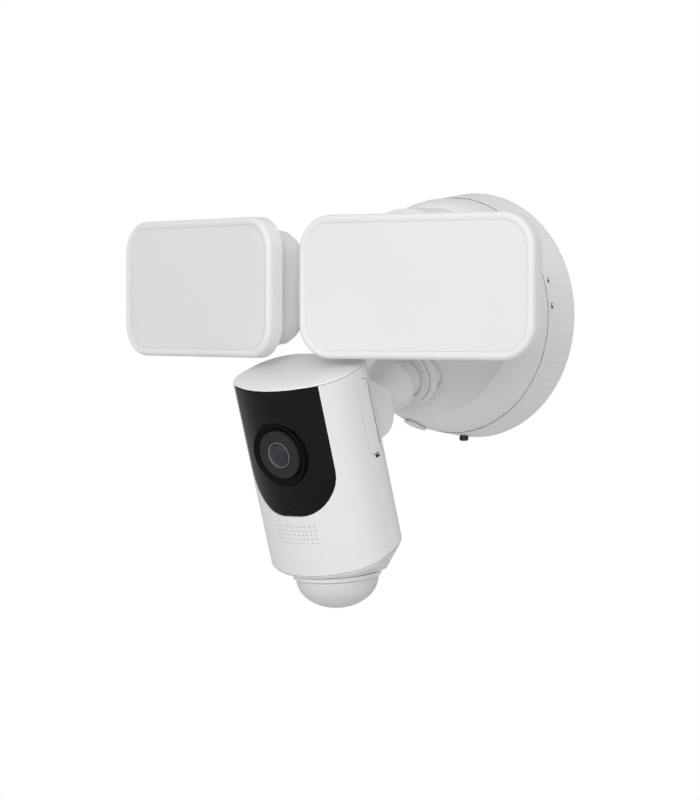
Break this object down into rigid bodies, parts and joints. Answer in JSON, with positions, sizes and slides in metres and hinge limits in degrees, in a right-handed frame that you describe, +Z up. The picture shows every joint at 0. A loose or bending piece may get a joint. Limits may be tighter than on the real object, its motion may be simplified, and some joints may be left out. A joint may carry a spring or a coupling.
{
  "type": "floodlight security camera",
  "caption": "Wall-mounted security floodlight with two rectangular lamps on tilting arms and a camera head with motion sensor below.",
  "frame": {"origin": "middle of the canopy's back, on the wall", "axes": "+Y into the wall, +Z up, +X to the right of a viewer facing the wall"},
  "size_m": [0.2774, 0.1764, 0.2207],
  "materials": {
    "white_plastic": "fine satin moulded",
    "screw_steel": "satin",
    "dark_steel": "blackened",
    "black_rubber": "matt",
    "circuit_board": "solder mask",
    "copper_winding": "enamelled copper",
    "black_plastic": "matt",
    "grey_plastic": "matt",
    "gloss_black": "polished",
    "lens_glass": "coated",
    "opal_dome": "milky, moulded with small facets inside",
    "lamp_diffuser": "milky satin",
    "bare_aluminium": "bare"
  },
  "bodies": {
    "base": {"back_plate": "white_plastic", "wall_gasket": "black_rubber", "plate_screw_left": "screw_steel", "plate_screw_right": "screw_steel", "canopy_shell": "white_plastic", "vent_plug": "white_plastic", "driver_board": "circuit_board", "transformer": "copper_winding", "capacitor": "black_plastic", "terminal_block": "grey_plastic", "lamp_hub": "white_plastic", "friction_washer_left": "black_rubber", "friction_washer_right": "black_rubber", "camera_socket": "white_plastic", "split_clip": "white_plastic"},
    "lock_ring": {"lock_ring": "white_plastic", "locking_screw": "dark_steel"},
    "left_arm": {"lamp_arm_left": "white_plastic"},
    "left_lamp": {"lamp_frame_left": "white_plastic", "lamp_diffuser_left": "lamp_diffuser", "reflector_tray_left": "white_plastic", "led_board_left": "bare_aluminium", "heat_sink_left": "bare_aluminium", "lamp_gasket_left": "black_rubber", "lamp_housing_left": "white_plastic", "lamp_bracket_left": "white_plastic", "pan_pin_left": "screw_steel", "housing_screw_left": "screw_steel"},
    "right_arm": {"lamp_arm_right": "white_plastic"},
    "right_lamp": {"lamp_frame_right": "white_plastic", "lamp_diffuser_right": "lamp_diffuser", "reflector_tray_right": "white_plastic", "led_board_right": "bare_aluminium", "heat_sink_right": "bare_aluminium", "lamp_gasket_right": "black_rubber", "lamp_housing_right": "white_plastic", "lamp_bracket_right": "white_plastic", "pan_pin_right": "screw_steel", "housing_screw_right": "screw_steel"},
    "camera_arm": {"camera_arm": "white_plastic"},
    "camera_head": {"head_shell": "white_plastic", "top_cap": "white_plastic", "bottom_cap": "white_plastic", "front_window": "gloss_black", "lens_cone": "black_plastic", "lens_barrel": "black_plastic", "lens_ring": "screw_steel", "lens_glass": "lens_glass", "sensor_board": "circuit_board", "main_board": "circuit_board", "speaker": "black_plastic", "antenna": "copper_winding", "card_socket": "screw_steel", "hinge_pin": "white_plastic", "sensor_ring": "white_plastic", "sensor_dome": "opal_dome", "motion_board": "circuit_board", "motion_element": "screw_steel"},
    "card_cover": {"card_cover": "white_plastic"},
    "reset_button": {"reset_button": "black_plastic"}
  },
  "joints": [
    {"name": "lock_ring_turn", "type": "hinge", "parent": "base", "child": "lock_ring", "pos_m": [0, 0, 0], "axis": [0, 1, 0], "range_deg": [0, 12]},
    {"name": "left_lamp_tilt", "type": "hinge", "parent": "base", "child": "left_arm", "pos_m": [0, -0.108, 0.0146], "axis": [1, 0, 0], "range_deg": [-40, 2]},
    {"name": "left_lamp_pan", "type": "hinge", "parent": "left_arm", "child": "left_lamp", "pos_m": [-0.0532, -0.108, 0.0146], "axis": [0, 0, 1], "range_deg": [-40, 5]},
    {"name": "right_lamp_tilt", "type": "hinge", "parent": "base", "child": "right_arm", "pos_m": [0, -0.108, 0.0146], "axis": [1, 0, 0], "range_deg": [-40, 2]},
    {"name": "right_lamp_pan", "type": "hinge", "parent": "right_arm", "child": "right_lamp", "pos_m": [0.0532, -0.108, 0.0146], "axis": [0, 0, 1], "range_deg": [-5, 40]},
    {"name": "camera_pan", "type": "hinge", "parent": "base", "child": "camera_arm", "pos_m": [0, -0.0585, -0.029], "axis": [0, 0, 1], "range_deg": [-20, 20]},
    {"name": "camera_tilt", "type": "hinge", "parent": "camera_arm", "child": "camera_head", "pos_m": [-0.00052, -0.1063, -0.05136], "axis": [0.9998, -0.0157, 0.0105], "range_deg": [-3, 40]},
    {"name": "card_cover_pull", "type": "slide", "parent": "camera_head", "child": "card_cover", "axis": [0.9998, -0.0157, 0.0105], "range_m": [0, 0.015]},
    {"name": "reset_press", "type": "slide", "parent": "camera_head", "child": "reset_button", "axis": [-0.9998, 0.0157, -0.0105], "range_m": [0, 0.0008], "stiffness_N_per_m": 300}
  ]
}
